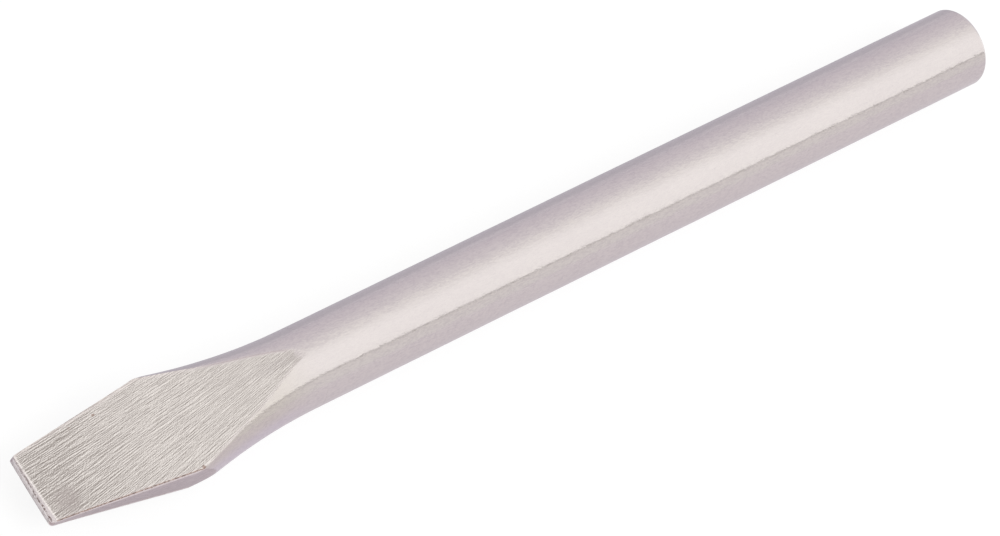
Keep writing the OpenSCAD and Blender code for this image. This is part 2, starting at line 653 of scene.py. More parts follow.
# Dark rust, also used for the painted shade along the honed crease
RUST_AND_SHADE_DARK = (0.16, 0.11, 0.10)
DULL_GREY = (0.40, 0.357, 0.345)

# Radius of each dull patch and of the rust spots in millimetres, and the most that each patch dulls
DULL_PATCH_R = [4.9, 4.0]
RUST_SPOT_R = 0.9
DULL_SHARE = [0.8, 0.32]
# How much of the rust's colour shows at most, and how rough it is
RUST_SHARE = 0.6
RUST_ROUGHNESS = 0.6
# Where along the bar the rust on top of the near side ends, and the neck's tint starts
RUST_END = 39.6
NECK_TINT_START = WEDGE_LEN - 14
# How far behind the edge the sides are worn bright by handling, and how much right at it
TIP_WEAR_LEN = 14
TIP_WEAR = 0.22
# Depth of the bumps in millimetres: the forged skin, the wedge faces' scratches, honing and filing
SKIN_DEPTH = 0.013
SCRATCH_DEPTH = 0.06
FINE_DEPTH = 0.02

# Size of the forged grain, and how much of the skin's dark tone each effect of it gives
GRAIN_SIZE = 0.3
SKIN_TONE = {"start": 0.17, "mottle": 0.3, "grain": 0.5, "drift": 0.09, "pits": 0.2}
# The smoother strip along the top of the bar: its middle, the distances from it at which it starts to fade
# and has faded, and the tone of the grain left in it
SMOOTH_STRIP_Y = -2.9
SMOOTH_STRIP_ENDS = (1.5, 4.5)
SMOOTH_STRIP_GRAIN = 0.3
# The same for the line where the soft box ends in the bar. It has less bump, which keeps it straight
STEADY_STRIP_Y = -5.6
STEADY_STRIP_ENDS = (1, 3)
STEADY_STRIP_BUMP = 0.42

# The kinds of scratch on a wedge face: degrees off the fan, width, length, seed, softness and share
SCRATCHES = (
    (0, 0.2, 2.2, 0.0, 0.14, 0.26),
    (0, 0.22, 9.0, 3.0, 0.14, 0.36),
    (14, 0.2, 0.3, 7.0, 0.15, 0.30),
)
# The share of the grooves that the mesh has
CARVED_SHARE = 0.08
# How strong the scratches are at the wedge face's tip, against 1 at its edge, and how much painted light
# and shade they give
SCRATCH_FADE = 0.75
SCRATCH_TONE = 1.9
# A wedge face's dark tone by the edge and further back, and what drift adds to it
GROUND_TONE = (0.60, 0.375)
GROUND_TONE_LEN = BLADE_END * 0.7
GROUND_DRIFT = 0.05


# ------------------------------------------------------------------ node helpers
def add(tree, kind, inputs=None, **settings):
    """A node with its settings, and its inputs linked or set."""
    made = tree.nodes.new(kind)
    for name, value in settings.items():
        setattr(made, name, value)
    for socket, value in (inputs or {}).items():
        if isinstance(value, bpy.types.NodeSocket):
            tree.links.new(value, made.inputs[socket])
        else:
            made.inputs[socket].default_value = value
    return made


def math_of(tree, operation, first, second=0.0, clamp=False):
    """The result of a Math node."""
    inputs = {0: first, 1: second}
    return add(tree, "ShaderNodeMath", inputs, operation=operation, use_clamp=clamp).outputs[0]


def plus(tree, first, second, clamp=False):
    """The sum of two values."""
    return math_of(tree, "ADD", first, second, clamp)


def minus(tree, first, second, clamp=False):
    """The first value less the second."""
    return math_of(tree, "SUBTRACT", first, second, clamp)


def times(tree, first, second):
    """The product of two values."""
    return math_of(tree, "MULTIPLY", first, second)


def ratio(tree, first, second):
    """The first value divided by the second."""
    return math_of(tree, "DIVIDE", first, second)


def gap(tree, first, second):
    """How far two values are apart."""
    return math_of(tree, "ABSOLUTE", minus(tree, first, second))


def swing(tree, value, size):
    """A value from 0 to 1 as one about 0, with that much between its ends."""
    return times(tree, minus(tree, value, 0.5), size)


def ranged(tree, value, low, high, to_low=0.0, to_high=1.0):
    """A value stretched from one range to another, and held inside it."""
    inputs = {"Value": value, "From Min": low, "From Max": high, "To Min": to_low, "To Max": to_high}
    return add(tree, "ShaderNodeMapRange", inputs, interpolation_type="SMOOTHSTEP").outputs["Result"]


def between(tree, share, first, second):
    """The value that lies at that share of the way from the first to the second."""
    return add(tree, "ShaderNodeMix", {0: share, 2: first, 3: second}, data_type="FLOAT").outputs[0]


def blended(tree, share, first, second, blend="MIX"):
    """The result of a colour Mix node."""
    made = add(tree, "ShaderNodeMix", data_type="RGBA", blend_type=blend)
    sockets = [made.inputs[0], made.inputs[6], made.inputs[7]]
    for socket, value in zip(sockets, (share, first, second)):
        if isinstance(value, bpy.types.NodeSocket):
            tree.links.new(value, socket)
        else:
            socket.default_value = value if isinstance(value, float) else (*value, 1)
    return made.outputs[2]


def coated(tree, colour, coat, mask, most):
    """A colour with another over it where a mask is 1, at most to that share."""
    return blended(tree, times(tree, mask, most), colour, coat)


def vector_of(tree, operation, first, second=(0.0, 0.0, 0.0), result="Vector"):
    """A result of a Vector Math node."""
    return add(tree, "ShaderNodeVectorMath", {0: first, 1: second}, operation=operation).outputs[result]


def parts_of(tree, vector):
    """The X, Y and Z of a vector."""
    return add(tree, "ShaderNodeSeparateXYZ", {0: vector}).outputs


def vector_from(tree, x, y, z=0.0):
    """A vector made of three values."""
    return add(tree, "ShaderNodeCombineXYZ", {"X": x, "Y": y, "Z": z}).outputs[0]


def turned(tree, place, *degrees):
    """A place turned about the origin."""
    turn = tuple(math.radians(angle) for angle in degrees)
    return add(tree, "ShaderNodeMapping", {"Vector": place, "Rotation": turn}).outputs[0]


def cloud(tree, place, scale, detail, roughness=0.5):
    """Soft noise, from 0 to 1 and mostly about a half."""
    inputs = {"Vector": place, "Scale": scale, "Detail": detail, "Roughness": roughness}
    return add(tree, "ShaderNodeTexNoise", inputs).outputs["Fac"]


def attribute(tree, name):
    """A finish that the mesh carries point by point."""
    return add(tree, "ShaderNodeAttribute", attribute_name=name).outputs["Fac"]


def new_group(name, inputs, outputs):
    """An empty shader group with named sockets, and its inputs and outputs as seen from inside.

    An input without a value is a place, and the output called Colour is a colour.
    """
    tree = bpy.data.node_groups.new(name, "ShaderNodeTree")
    for label, value in inputs.items():
        kind = "NodeSocketVector" if value is None else "NodeSocketFloat"
        socket = tree.interface.new_socket(name=label, in_out="INPUT", socket_type=kind)
        if value is not None:
            socket.default_value = value
    for label in outputs:
        kind = "NodeSocketColor" if label == "Colour" else "NodeSocketFloat"
        tree.interface.new_socket(name=label, in_out="OUTPUT", socket_type=kind)
    return tree, tree.nodes.new("NodeGroupInput").outputs, tree.nodes.new("NodeGroupOutput").inputs


def use_group(tree, name, **inputs):
    """The outputs of a shared effect, placed in a material or in another effect."""
    return add(tree, "ShaderNodeGroup", inputs, node_tree=bpy.data.node_groups[name]).outputs


# ------------------------------------------------------------------ shared effects
def marks_group():
    """Long thin scratches along X, each with a lit and a shaded flank, as a grinding belt leaves them."""
    sizes = {"Place": None, "Width": 0.4, "Length": 3.0, "Seed": 0.0, "Softness": 0.17}
    waves_per_metre = 220.0
    sway_width = 0.1 * MM
    flank = 0.8
    tree, given, out = new_group("grinding marks", sizes, ["Height"])
    inputs = {"Vector": given["Place"], "Scale": waves_per_metre, "Detail": 1.0}
    wave = add(tree, "ShaderNodeTexNoise", inputs)
    sway = vector_of(tree, "MULTIPLY", wave.outputs["Color"], (0.0, sway_width, 0.0))
    swayed = vector_of(tree, "ADD", given["Place"], sway)
    size = vector_from(tree, given["Length"], given["Width"], given["Width"])
    in_metres = vector_of(tree, "MULTIPLY", size, (MM, MM, MM))
    stretched = vector_of(tree, "DIVIDE", swayed, in_metres)
    beside = vector_of(tree, "ADD", stretched, (0.0, flank, 0.0))
    depths = []
    for at in (stretched, beside):
        inputs = {"Vector": at, "W": given["Seed"], "Scale": 1.0, "Detail": 1.0, "Roughness": 0.5}
        depths.append(add(tree, "ShaderNodeTexNoise", inputs, noise_dimensions="4D").outputs["Fac"])
    gentlest = times(tree, given["Softness"], -1.0)
    height = ranged(tree, minus(tree, *depths), gentlest, given["Softness"])
    tree.links.new(height, out["Height"])


def grain_group():
    """The fine skin of a forged bar, drawn out along X: grain, a coarser mottling and small pits."""
    labels = ["Height", "Grain", "Mottle", "Pits"]
    tree, given, out = new_group("forged grain", {"Place": None, "Size": 0.5}, labels)
    scale = ratio(tree, 1 / MM, given["Size"])
    broad_scale = times(tree, scale, 0.4)
    place = vector_of(tree, "MULTIPLY", given["Place"], (0.36, 1.0, 1.0))
    grain = ranged(tree, cloud(tree, place, scale, 1.0), 0.32, 0.68)
    patches = cloud(tree, place, broad_scale, 2.0)
    mottle = ranged(tree, patches, 0.32, 0.68)
    cells = add(tree, "ShaderNodeTexVoronoi", {"Vector": place, "Scale": broad_scale, "Randomness": 1.0})
    pit = ranged(tree, cells.outputs["Distance"], 0.08, 0.3, 1.0, 0.0)
    pits = times(tree, pit, ranged(tree, patches, 0.5, 0.6))
    height = minus(tree, plus(tree, times(tree, grain, 0.5), mottle), pits)
    for label, value in zip(labels, (height, grain, mottle, pits)):
        tree.links.new(value, out[label])


def drift_group():
    """Slow change of tone over the forging, as handling and heat leave it."""
    tree, given, out = new_group("slow drift", {"Place": None, "Size": 14.0}, ["Drift"])
    slow = cloud(tree, given["Place"], ratio(tree, 1 / MM, given["Size"]), 2.0)
    tree.links.new(ranged(tree, slow, 0.35, 0.65), out["Drift"])


def rust_group():
    """Broken rust: what a mask lets through, in irregular blots."""
    tree, given, out = new_group("broken rust", {"Place": None, "Mask": 0.0, "Size": 0.7}, ["Rust"])
    blots = cloud(tree, given["Place"], ratio(tree, 1 / MM, given["Size"]), 3.0, 0.65)
    reach = plus(tree, blots, times(tree, given["Mask"], 0.5))
    rust = times(tree, ranged(tree, reach, 0.68, 0.86), ranged(tree, given["Mask"], 0.0, 0.15))
    tree.links.new(rust, out["Rust"])


def freckle_group():
    """A round mask about a place, in object space."""
    tree, given, out = new_group("freckle", {"Place": None, "Centre": None, "Radius": 1.0}, ["Mask"])
    away = vector_of(tree, "DISTANCE", given["Place"], given["Centre"], "Value")
    share = ratio(tree, away, times(tree, given["Radius"], MM))
    tree.links.new(ranged(tree, share, 0.2, 1.0, 1.0, 0.0), out["Mask"])


def line_group():
    """A dashed version of a mask that is 1 along a line. The dashes are what noise has above Low."""
    sizes = {"Place": None, "Line": 0.0, "Size": 0.6, "Low": 0.3, "High": 0.5}
    tree, given, out = new_group("broken line", sizes, ["Mask"])
    dashes = cloud(tree, given["Place"], ratio(tree, 1 / MM, given["Size"]), 2.0, 0.6)
    mask = times(tree, given["Line"], ranged(tree, dashes, given["Low"], given["High"]))
    tree.links.new(mask, out["Mask"])


def rusty_side_group():
    """1 along the near side of the blade, where the corner rusts, and faint on the far side."""
    tree, given, out = new_group("rusty side", {"Place": None}, ["Mask"])
    parts = parts_of(tree, given["Place"])
    near = ranged(tree, parts["Y"], -3 * MM, 3 * MM, 1.0, 0.1)
    rust_end = edge_at + RUST_END * MM
    before_end = ranged(tree, parts["X"], rust_end - 1 * MM, rust_end, 1.0, 0.0)
    tree.links.new(times(tree, near, before_end), out["Mask"])


def strip(tree, parts, middle, ends, inside, outside):
    """A value that differs in a strip along the bar, about that place across it."""
    aside = gap(tree, parts["Y"], middle * MM)
    return ranged(tree, aside, ends[0] * MM, ends[1] * MM, inside, outside)


def skin_group():
    """The bar's satin forged skin."""
    labels = ["Colour", "Roughness", "Height"]
    tree, given, out = new_group("forged skin", {"Place": None}, labels)
    place = given["Place"]
    parts = parts_of(tree, place)
    grain = use_group(tree, "forged grain", Place=place, Size=GRAIN_SIZE)
    smooth = strip(tree, parts, SMOOTH_STRIP_Y, SMOOTH_STRIP_ENDS, 1.0, 0.0)
    smooth = times(tree, smooth, ranged(tree, parts["Z"], axis_at, axis_at + 3 * MM))
    mottle = swing(tree, grain["Mottle"], SKIN_TONE["mottle"])
    tone = plus(tree, mottle, swing(tree, grain["Grain"], SKIN_TONE["grain"]))
    tone = times(tree, tone, ranged(tree, smooth, 0.0, 1.0, 1.0, SMOOTH_STRIP_GRAIN))
    tone = plus(tree, tone, times(tree, drift_at(tree, place, 18.0), SKIN_TONE["drift"]))
    tone = plus(tree, tone, times(tree, grain["Pits"], SKIN_TONE["pits"]))
    tone = plus(tree, tone, SKIN_TONE["start"], clamp=True)
    colour = blended(tree, tone, FORGED_LIGHT, FORGED_DARK)
    roughness = ranged(tree, grain["Mottle"], 0.0, 1.0, 0.08, 0.13)
    steady = strip(tree, parts, STEADY_STRIP_Y, STEADY_STRIP_ENDS, STEADY_STRIP_BUMP, 1.0)
    height = times(tree, grain["Height"], steady)
    for label, value in zip(labels, (colour, roughness, height)):
        tree.links.new(value, out[label])


def marks_at(tree, place, **sizes):
    """Height of grinding marks along X, from 0 to 1."""
    return use_group(tree, "grinding marks", Place=place, **sizes)["Height"]


def drift_at(tree, place, size):
    """Slow drift from 0 to 1, over about that many millimetres."""
    return use_group(tree, "slow drift", Place=place, Size=size)["Drift"]


def freckle_at(tree, place, centre, radius):
    """A round mask about a place, of that radius in millimetres."""
    return use_group(tree, "freckle", Place=place, Centre=centre, Radius=radius)["Mask"]


def broken_line(tree, place, line, size, low, high):
    """A mask that is 1 along a line, broken into dashes of about that many millimetres."""
    return use_group(tree, "broken line", Place=place, Line=line, Size=size, Low=low, High=high)["Mask"]


# ------------------------------------------------------------------ materials
def new_material(name):
    """A material with its place in object space, its shader and nothing else."""
    material = bpy.data.materials.new(name)
    material.use_nodes = True
    tree = material.node_tree
    tree.nodes.clear()
    out = tree.nodes.new("ShaderNodeOutputMaterial")
    shader = add(tree, "ShaderNodeBsdfPrincipled", {"Metallic": 1.0})
    tree.links.new(shader.outputs[0], out.inputs["Surface"])
    place = tree.nodes.new("ShaderNodeTexCoord").outputs["Object"]
    return material, tree, shader, place


def finish_shader(tree, shader, colour, roughness, height, depth):
    """Feeds the shader its colour, its roughness and a bump of that depth in millimetres."""
    bump = add(tree, "ShaderNodeBump", {"Height": height, "Distance": depth * MM, "Strength": 1.0})
    tree.links.new(colour, shader.inputs["Base Color"])
    tree.links.new(roughness, shader.inputs["Roughness"])
    tree.links.new(bump.outputs[0], shader.inputs["Normal"])


def rusted(tree, place, colour, roughness, mask):
    """Colour and roughness with broken rust over them."""
    rust = use_group(tree, "broken rust", Place=place, Mask=mask)["Rust"]
    stained = coated(tree, colour, RUST_BROWN, rust, RUST_SHARE)
    return stained, between(tree, rust, roughness, RUST_ROUGHNESS)


def forged_skin():
    """Satin forged bar: the shank and the barrel of the head, with a rim painted bright, partly real wear
    and partly a painted highlight.
    """
    material, tree, shader, place = new_material("forged_skin")
    skin = use_group(tree, "forged skin", Place=place)
    # The rim's bright colour is partly wear and partly a painted highlight
    colour = coated(tree, skin["Colour"], WEAR_AND_HIGHLIGHT, attribute(tree, "corner"), 0.9)
    finish_shader(tree, shader, colour, skin["Roughness"], skin["Height"], SKIN_DEPTH)
    return material


def neck_tinted(tree, parts, colour):
    """The forged skin's colour with the neck's tint over its near side."""
    start, end = (edge_at + x * MM for x in (NECK_TINT_START, FLARE_START))
    neck = ranged(tree, parts["X"], start, end, 1.0, 0.0)
    near_neck = times(tree, neck, ranged(tree, parts["Y"], -3 * MM, 3 * MM, 1.0, 0.0))
    height_share = ranged(tree, parts["Z"], axis_at + 2 * MM, axis_at + 6 * MM)
    tint = blended(tree, height_share, NECK_TINT_LOW, NECK_TINT)
    return blended(tree, near_neck, colour, tint, "MULTIPLY")


def flared_side():
    """The sides of blade and neck: ground flat near the edge with their marks painted light and dark,
    forged skin behind, with wear along the top.
    """
    material, tree, shader, place = new_material("flared_side")
    parts = parts_of(tree, place)
    ground = attribute(tree, "ground")
    corner = attribute(tree, "corner")
    skin = use_group(tree, "forged skin", Place=place)
    colour = neck_tinted(tree, parts, skin["Colour"])
    marks = marks_at(tree, place, Width=0.3, Length=4.0)
    # The ground sides' marks: painted highlight and painted shade on their flanks
    colour = blended(tree, ground, colour, blended(tree, marks, SIDE_DARK, SIDE_LIGHT))
    tip = ranged(tree, parts["X"], edge_at, edge_at + TIP_WEAR_LEN * MM, TIP_WEAR, 0.0)
    colour = blended(tree, times(tree, tip, ground), colour, WEAR_AND_HIGHLIGHT)
    stain = times(tree, ranged(tree, corner, 0.1, 0.6), ground)
    colour = coated(tree, colour, SIDE_STAIN, stain, 0.5)
    wear_and_painted_light = times(tree, ranged(tree, corner, 0.5, 0.85), ground)
    colour = coated(tree, colour, WEAR_AND_HIGHLIGHT, wear_and_painted_light, 0.8)
    rusty_side = use_group(tree, "rusty side", Place=place)["Mask"]
    rusty = times(tree, times(tree, stain, rusty_side), 0.3)
    colour, roughness = rusted(tree, place, colour, skin["Roughness"], rusty)
    finish_shader(tree, shader, colour, roughness, skin["Height"], SKIN_DEPTH)
    return material


def fanned(tree, place):
    """Places on a wedge face as (along, across) the fan of its grinding marks, in metres."""
    parts = parts_of(tree, vector_of(tree, "SUBTRACT", place, placed(FAN_X, FAN_Y, 0)))
    along = vector_of(tree, "LENGTH", vector_from(tree, parts["X"], parts["Y"]), result="Value")
    turn = math_of(tree, "ARCTAN2", parts["Y"], times(tree, parts["X"], -1.0))
    return vector_from(tree, along, times(tree, turn, FAN_R * MM), times(tree, parts["Z"], 0.05))


def behind_edge(tree, parts, start, slant):
    """How far a place lies behind a line across the blade, in metres.

    The line starts that many millimetres behind the cutting edge on the axis, and slants from it.
    """
    on_axis = edge_at - EDGE_SKEW * EDGE_SKEW_FROM * MM
    behind = minus(tree, parts["X"], on_axis + start * MM)
    behind = plus(tree, behind, times(tree, parts["Y"], slant - EDGE_SKEW))
    off = ratio(tree, minus(tree, parts["Y"], EDGE_MIDDLE * MM), EDGE_REACH * MM)
    bow = minus(tree, 1.0, times(tree, off, off))
    return plus(tree, behind, times(tree, bow, EDGE_BOW * MM))


def scratched(tree, place):
    """Height of the fanned scratches of a wedge face, from 0 to 1."""
    fan = fanned(tree, place)
    carved = ranged(tree, attribute(tree, "mark"), -0.9, 0.9)
    parts = []
    for turn, width, length, seed, softness, share in SCRATCHES:
        at = turned(tree, fan, 0, 0, turn) if turn else fan
        height = marks_at(tree, at, Width=width, Length=length, Seed=seed, Softness=softness)
        parts.append(times(tree, height, share))
    parts.append(times(tree, carved, CARVED_SHARE))
    height = parts[0]
    for part in parts[1:]:
        height = plus(tree, height, part)
    return height


def ground_colour(tree, place, parts, streak, strength):
    """The ground steel of a wedge face, with painted shade in the grooves of its scratches and a painted
    highlight on their crests.
    """
    tone = swing(tree, streak, times(tree, strength, SCRATCH_TONE))
    back = edge_at + GROUND_TONE_LEN * MM
    tone = plus(tree, tone, ranged(tree, parts["X"], edge_at, back, *GROUND_TONE))
    tone = plus(tree, tone, times(tree, drift_at(tree, place, 9.0), GROUND_DRIFT), clamp=True)
    return blended(tree, tone, GROUND_LIGHT, GROUND_DARK)


def borders_worn_and_lit(tree, place, parts, corner, colour):
    """Colour with a painted highlight along the ridge behind the bevel, polished corners and a rusty near
    one.
    """
    behind = behind_edge(tree, parts, BEVEL_LEN, BEVEL_SKEW)
    # A broken line of painted highlight along the ridge behind the bevel
    ridge = ranged(tree, behind, 0.2 * MM, 0.65 * MM, 1.0, 0.0)
    colour = coated(tree, colour, WEAR_AND_HIGHLIGHT, broken_line(tree, place, ridge, 0.6, 0.2, 0.5), 0.7)
    colour = coated(tree, colour, CORNER_POLISH, ranged(tree, corner, 0.15, 0.5), 0.3)
    rusty_side = use_group(tree, "rusty side", Place=place)["Mask"]
    line = times(tree, ranged(tree, corner, 0.5, 0.72), rusty_side)
    colour = coated(tree, colour, RUST_BROWN, broken_line(tree, place, line, 0.9, 0.27, 0.47), 0.65)
    return coated(tree, colour, RUST_AND_SHADE_DARK, broken_line(tree, place, line, 0.55, 0.48, 0.58), 0.8)


def dulled(tree, place, colour, spots):
    """Colour with mottled dull patches about some places."""
    grain = use_group(tree, "forged grain", Place=place, Size=GRAIN_SIZE)["Grain"]
    for spot, radius, most in zip(spots, DULL_PATCH_R, DULL_SHARE):
        mottled = ranged(tree, grain, 0.0, 1.0, most * 0.4, most)
        mask = freckle_at(tree, place, spot, radius)
        colour = blended(tree, times(tree, mask, mottled), colour, DULL_GREY)
    return colour


def skinned_neck(tree, parts, corner):
    """A mask for forged skin along the far crease of the neck, which the wedge face also darkens there as
    painted shade.
    """
    start, full = (edge_at + x * MM for x in NECK_EASE_ENDS[:2])
    neck = ranged(tree, parts["X"], start, full)
    neck = times(tree, neck, ranged(tree, parts["Y"], 0.0, 1 * MM))
    return times(tree, neck, ranged(tree, corner, 0.08, 0.7))


def wedge_face(rust_at, dull_at):
    """The two ground faces: fanned scratches that end in forged skin at the tip and the far crease, where
    painted shade darkens the skin.
    """
    material, tree, shader, place = new_material("wedge_face")
    parts = parts_of(tree, place)
    corner = attribute(tree, "corner")
    streak = scratched(tree, place)
    strength = ranged(tree, parts["X"], edge_at, edge_at + WEDGE_LEN * MM, 1.0, SCRATCH_FADE)
    colour = ground_colour(tree, place, parts, streak, strength)
    colour = borders_worn_and_lit(tree, place, parts, corner, colour)
    roughness = ranged(tree, streak, 0.2, 0.8, 0.26, 0.4)
    skinned = skinned_neck(tree, parts, corner)
    uneven = swing(tree, drift_at(tree, place, 2.2), 0.25)
    flat = ranged(tree, plus(tree, attribute(tree, "flat"), uneven), 0.13, 0.6)
    flat = minus(tree, flat, skinned, clamp=True)
    skin = use_group(tree, "forged skin", Place=place)
    # Painted shade: the skin along the far crease is darkened towards the sides' dark colour
    skin_with_crease_shade = coated(tree, skin["Colour"], SIDE_DARK, skinned, 0.6)
    colour = blended(tree, flat, skin_with_crease_shade, colour)
    colour = dulled(tree, place, colour, dull_at)
    roughness = between(tree, flat, skin["Roughness"], roughness)
    masks = [freckle_at(tree, place, spot, RUST_SPOT_R) for spot in rust_at]
    mask = masks[0]
    for other in masks[1:]:
        mask = math_of(tree, "MAXIMUM", mask, other)
    colour, roughness = rusted(tree, place, colour, roughness, times(tree, mask, 0.6))
    height = times(tree, streak, times(tree, strength, -1.0))
    finish_shader(tree, shader, colour, roughness, height, SCRATCH_DEPTH)
    return material


def honed_edge():
    """The bevels and the land: lilac-grey, finely honed, with their marks painted light and dark, the land
    painted lighter on top and darker below, and a broken line of painted shade along the crease where they
    meet.
    """
    material, tree, shader, place = new_material("honed_edge")
    parts = parts_of(tree, place)
    marks = marks_at(tree, turned(tree, place, 0, 0, 90), Width=0.25, Length=0.6)
    ahead = behind_edge(tree, parts, 0, 0)
    rise = minus(tree, parts["Z"], axis_at)
    land = EDGE_LAND * MM
    # The land is painted lighter along its top and darker underneath: painted light and painted shade
    lip = ranged(tree, rise, land * 0.1, land * 0.4)
    under = ranged(tree, rise, -land * 0.42, -land * 0.1, 1.0, 0.0)
    wear_and_painted_light = blended(tree, lip, LAND_MIDDLE, LAND_TOP)
    wear_and_painted_light = blended(tree, under, wear_and_painted_light, LAND_UNDER)
    # The honing marks: painted highlight and painted shade on their flanks
    colour = blended(tree, marks, HONED_DARK, HONED_LIGHT)
    colour = blended(tree, ranged(tree, ahead, 0.02 * MM, 0.15 * MM, 1.0, 0.0), colour, wear_and_painted_light)
    # A broken dark line along the crease between land and bevel: painted shade, stronger on the near side
    wander = swing(tree, drift_at(tree, place, 1.6), 0.16 * MM)
    away = gap(tree, plus(tree, ahead, wander), 0.24 * MM)
    crease = ranged(tree, away, 0.08 * MM, 0.24 * MM, 1.0, 0.0)
    crease_shade_share = ranged(tree, parts["Y"], -4 * MM, 10 * MM, 1.0, 0.45)
    dark = broken_line(tree, place, times(tree, crease, crease_shade_share), 0.45, 0.42, 0.52)
    colour = coated(tree, colour, RUST_AND_SHADE_DARK, dark, 0.9)
    roughness = ranged(tree, marks, 0.0, 1.0, 0.22, 0.34)
    finish_shader(tree, shader, colour, roughness, marks, FINE_DEPTH)
    return material


def struck_face():
    """The head's end: dressed with a file whose marks are painted light and dark, satin, and dark in its
    pits.
    """
    material, tree, shader, place = new_material("struck_face")
    grain = use_group(tree, "forged grain", Place=place, Size=0.9)
    marks = marks_at(tree, turned(tree, place, 0, 90, 32), Width=0.3, Length=7.0)
    # The file marks: painted highlight and painted shade on their flanks
    colour = blended(tree, marks, FILED_DARK, FILED_LIGHT)
    colour = coated(tree, colour, PIT_DARK, grain["Pits"], 0.6)
    roughness = ranged(tree, grain["Mottle"], 0.0, 1.0, 0.28, 0.4)
    finish_shader(tree, shader, colour, roughness, marks, FINE_DEPTH)
    return material


# ------------------------------------------------------------------ camera
CAMERA_AZIMUTH = -160.85
CAMERA_ELEVATION = 51.44
CAMERA_ROLL = -40.01
CAMERA_DISTANCE = 1852.5
CAMERA_AIM = (144.35, 0.5, 0.0)
LENS = 283.0
SENSOR = 36.0
LONG_SIDE = max(PICTURE_W, PICTURE_H)


def make_camera():
    """The photograph's view: where the camera stands round its aim point, and how it is rolled."""
    azimuth, elevation, roll = map(math.radians, (CAMERA_AZIMUTH, CAMERA_ELEVATION, CAMERA_ROLL))
    level = math.cos(elevation)
    back = Vector((level * math.cos(azimuth), level * math.sin(azimuth), math.sin(elevation)))
    ahead = -back
    level_up = (Vector((0, 0, 1)) - back * back.z).normalized()
    up = level_up * math.cos(roll) + ahead.cross(level_up) * math.sin(roll)
    right = ahead.cross(up)
    data = bpy.data.cameras.new("photo_view")
    data.sensor_fit = "AUTO"
    data.sensor_width = SENSOR
    data.lens = LENS
    data.clip_start = 0.05
    data.clip_end = 20
    made = bpy.data.objects.new("photo_view", data)
    turn = Matrix((right, up, back)).transposed()
    stand = placed(*CAMERA_AIM) + back * CAMERA_DISTANCE * MM
    made.matrix_world = Matrix.Translation(stand) @ turn.to_4x4()
    bpy.context.scene.collection.objects.link(made)
    bpy.context.scene.camera = made
    return made


def ray_to(camera, x, y):
    """Start and direction of the ray through an image point."""
    data = camera.data
    inside = Vector((
        x - PICTURE_W / 2 + data.shift_x * LONG_SIDE,
        PICTURE_H / 2 - y + data.shift_y * LONG_SIDE,
        -LONG_SIDE * data.lens / data.sensor_width,
    ))
    return camera.matrix_world.translation, (camera.matrix_world.to_3x3() @ inside).normalized()


def image_place(camera, place):
    """Where a place in the frame shows in the picture."""
    data = camera.data
    inside = camera.matrix_world.inverted() @ place
    scale = LONG_SIDE * data.lens / data.sensor_width / -inside.z
    return (
        PICTURE_W / 2 + inside.x * scale - data.shift_x * LONG_SIDE,
        PICTURE_H / 2 - inside.y * scale + data.shift_y * LONG_SIDE,
    )


def on_surface(camera, tree, x, y):
    """The place on the forging that shows at an image point, or the one nearest to its ray."""
    start, direction = ray_to(camera, x, y)
    hit = tree.ray_cast(start, direction)[0]
    if hit:
        return hit
    reach = (placed(*CAMERA_AIM) - start).dot(direction)
    return tree.find_nearest(start + direction * reach)[0]


# ------------------------------------------------------------------ studio
# The floor's half width and how far it lies under the chisel, in metres, and its own grey
FLOOR_HALF = 3.0
FLOOR_GAP = 5e-5
FLOOR_GREY = (0.78, 0.78, 0.78)
# What the floor shows of itself to the camera, and the share of its shadows that shows there
FLOOR_GLOW = 0.84
FLOOR_SHADOW = (0.22, 0.22, 0.22)
# The floor's colour in the steel's reflections, painted by place: on the near side, on the far side darker
# as a painted shadow, far out there, and in a patch off each end lighter as a painted pool of light, with
# the share of it that no shadow darkens
FLOOR_NEAR = (0.85, 0.80, 0.835)
FLOOR_FAR_SHADED = (0.62, 0.59, 0.65)
FLOOR_HORIZON = (0.78, 0.74, 0.80)
FLOOR_ENDS_LIT = (1.0, 0.98, 0.98)
FLOOR_STEADY = 0.5
# How far across the floor the near colour goes over into the far one, and that into the horizon's
FLOOR_SPREAD = 0.03
FLOOR_REACH = (0.03, 0.2)
# The painted pool of light off each end that the edge and the rim mirror: its place and its radii
LIT_PATCH_AT = (159, 4)
LIT_PATCH_R = (8, 13)


def diffuse(tree, colour):
    """A matt surface."""
    value = colour if isinstance(colour, bpy.types.NodeSocket) else (*colour, 1)
    return add(tree, "ShaderNodeBsdfDiffuse", {"Color": value}).outputs[0]


def by_ray(tree, plain, seen, mirrored):
    """One shader for the camera's view, one for reflections in steel and a plain one for other light."""
    ray = tree.nodes.new("ShaderNodeLightPath").outputs
    direct = plus(tree, ray["Is Camera Ray"], ray["Is Transmission Ray"], clamp=True)
    first = add(tree, "ShaderNodeMixShader", {0: direct, 1: plain, 2: seen})
    second = add(tree, "ShaderNodeMixShader", {0: ray["Is Glossy Ray"], 1: first.outputs[0], 2: mirrored})
    return second.outputs[0]


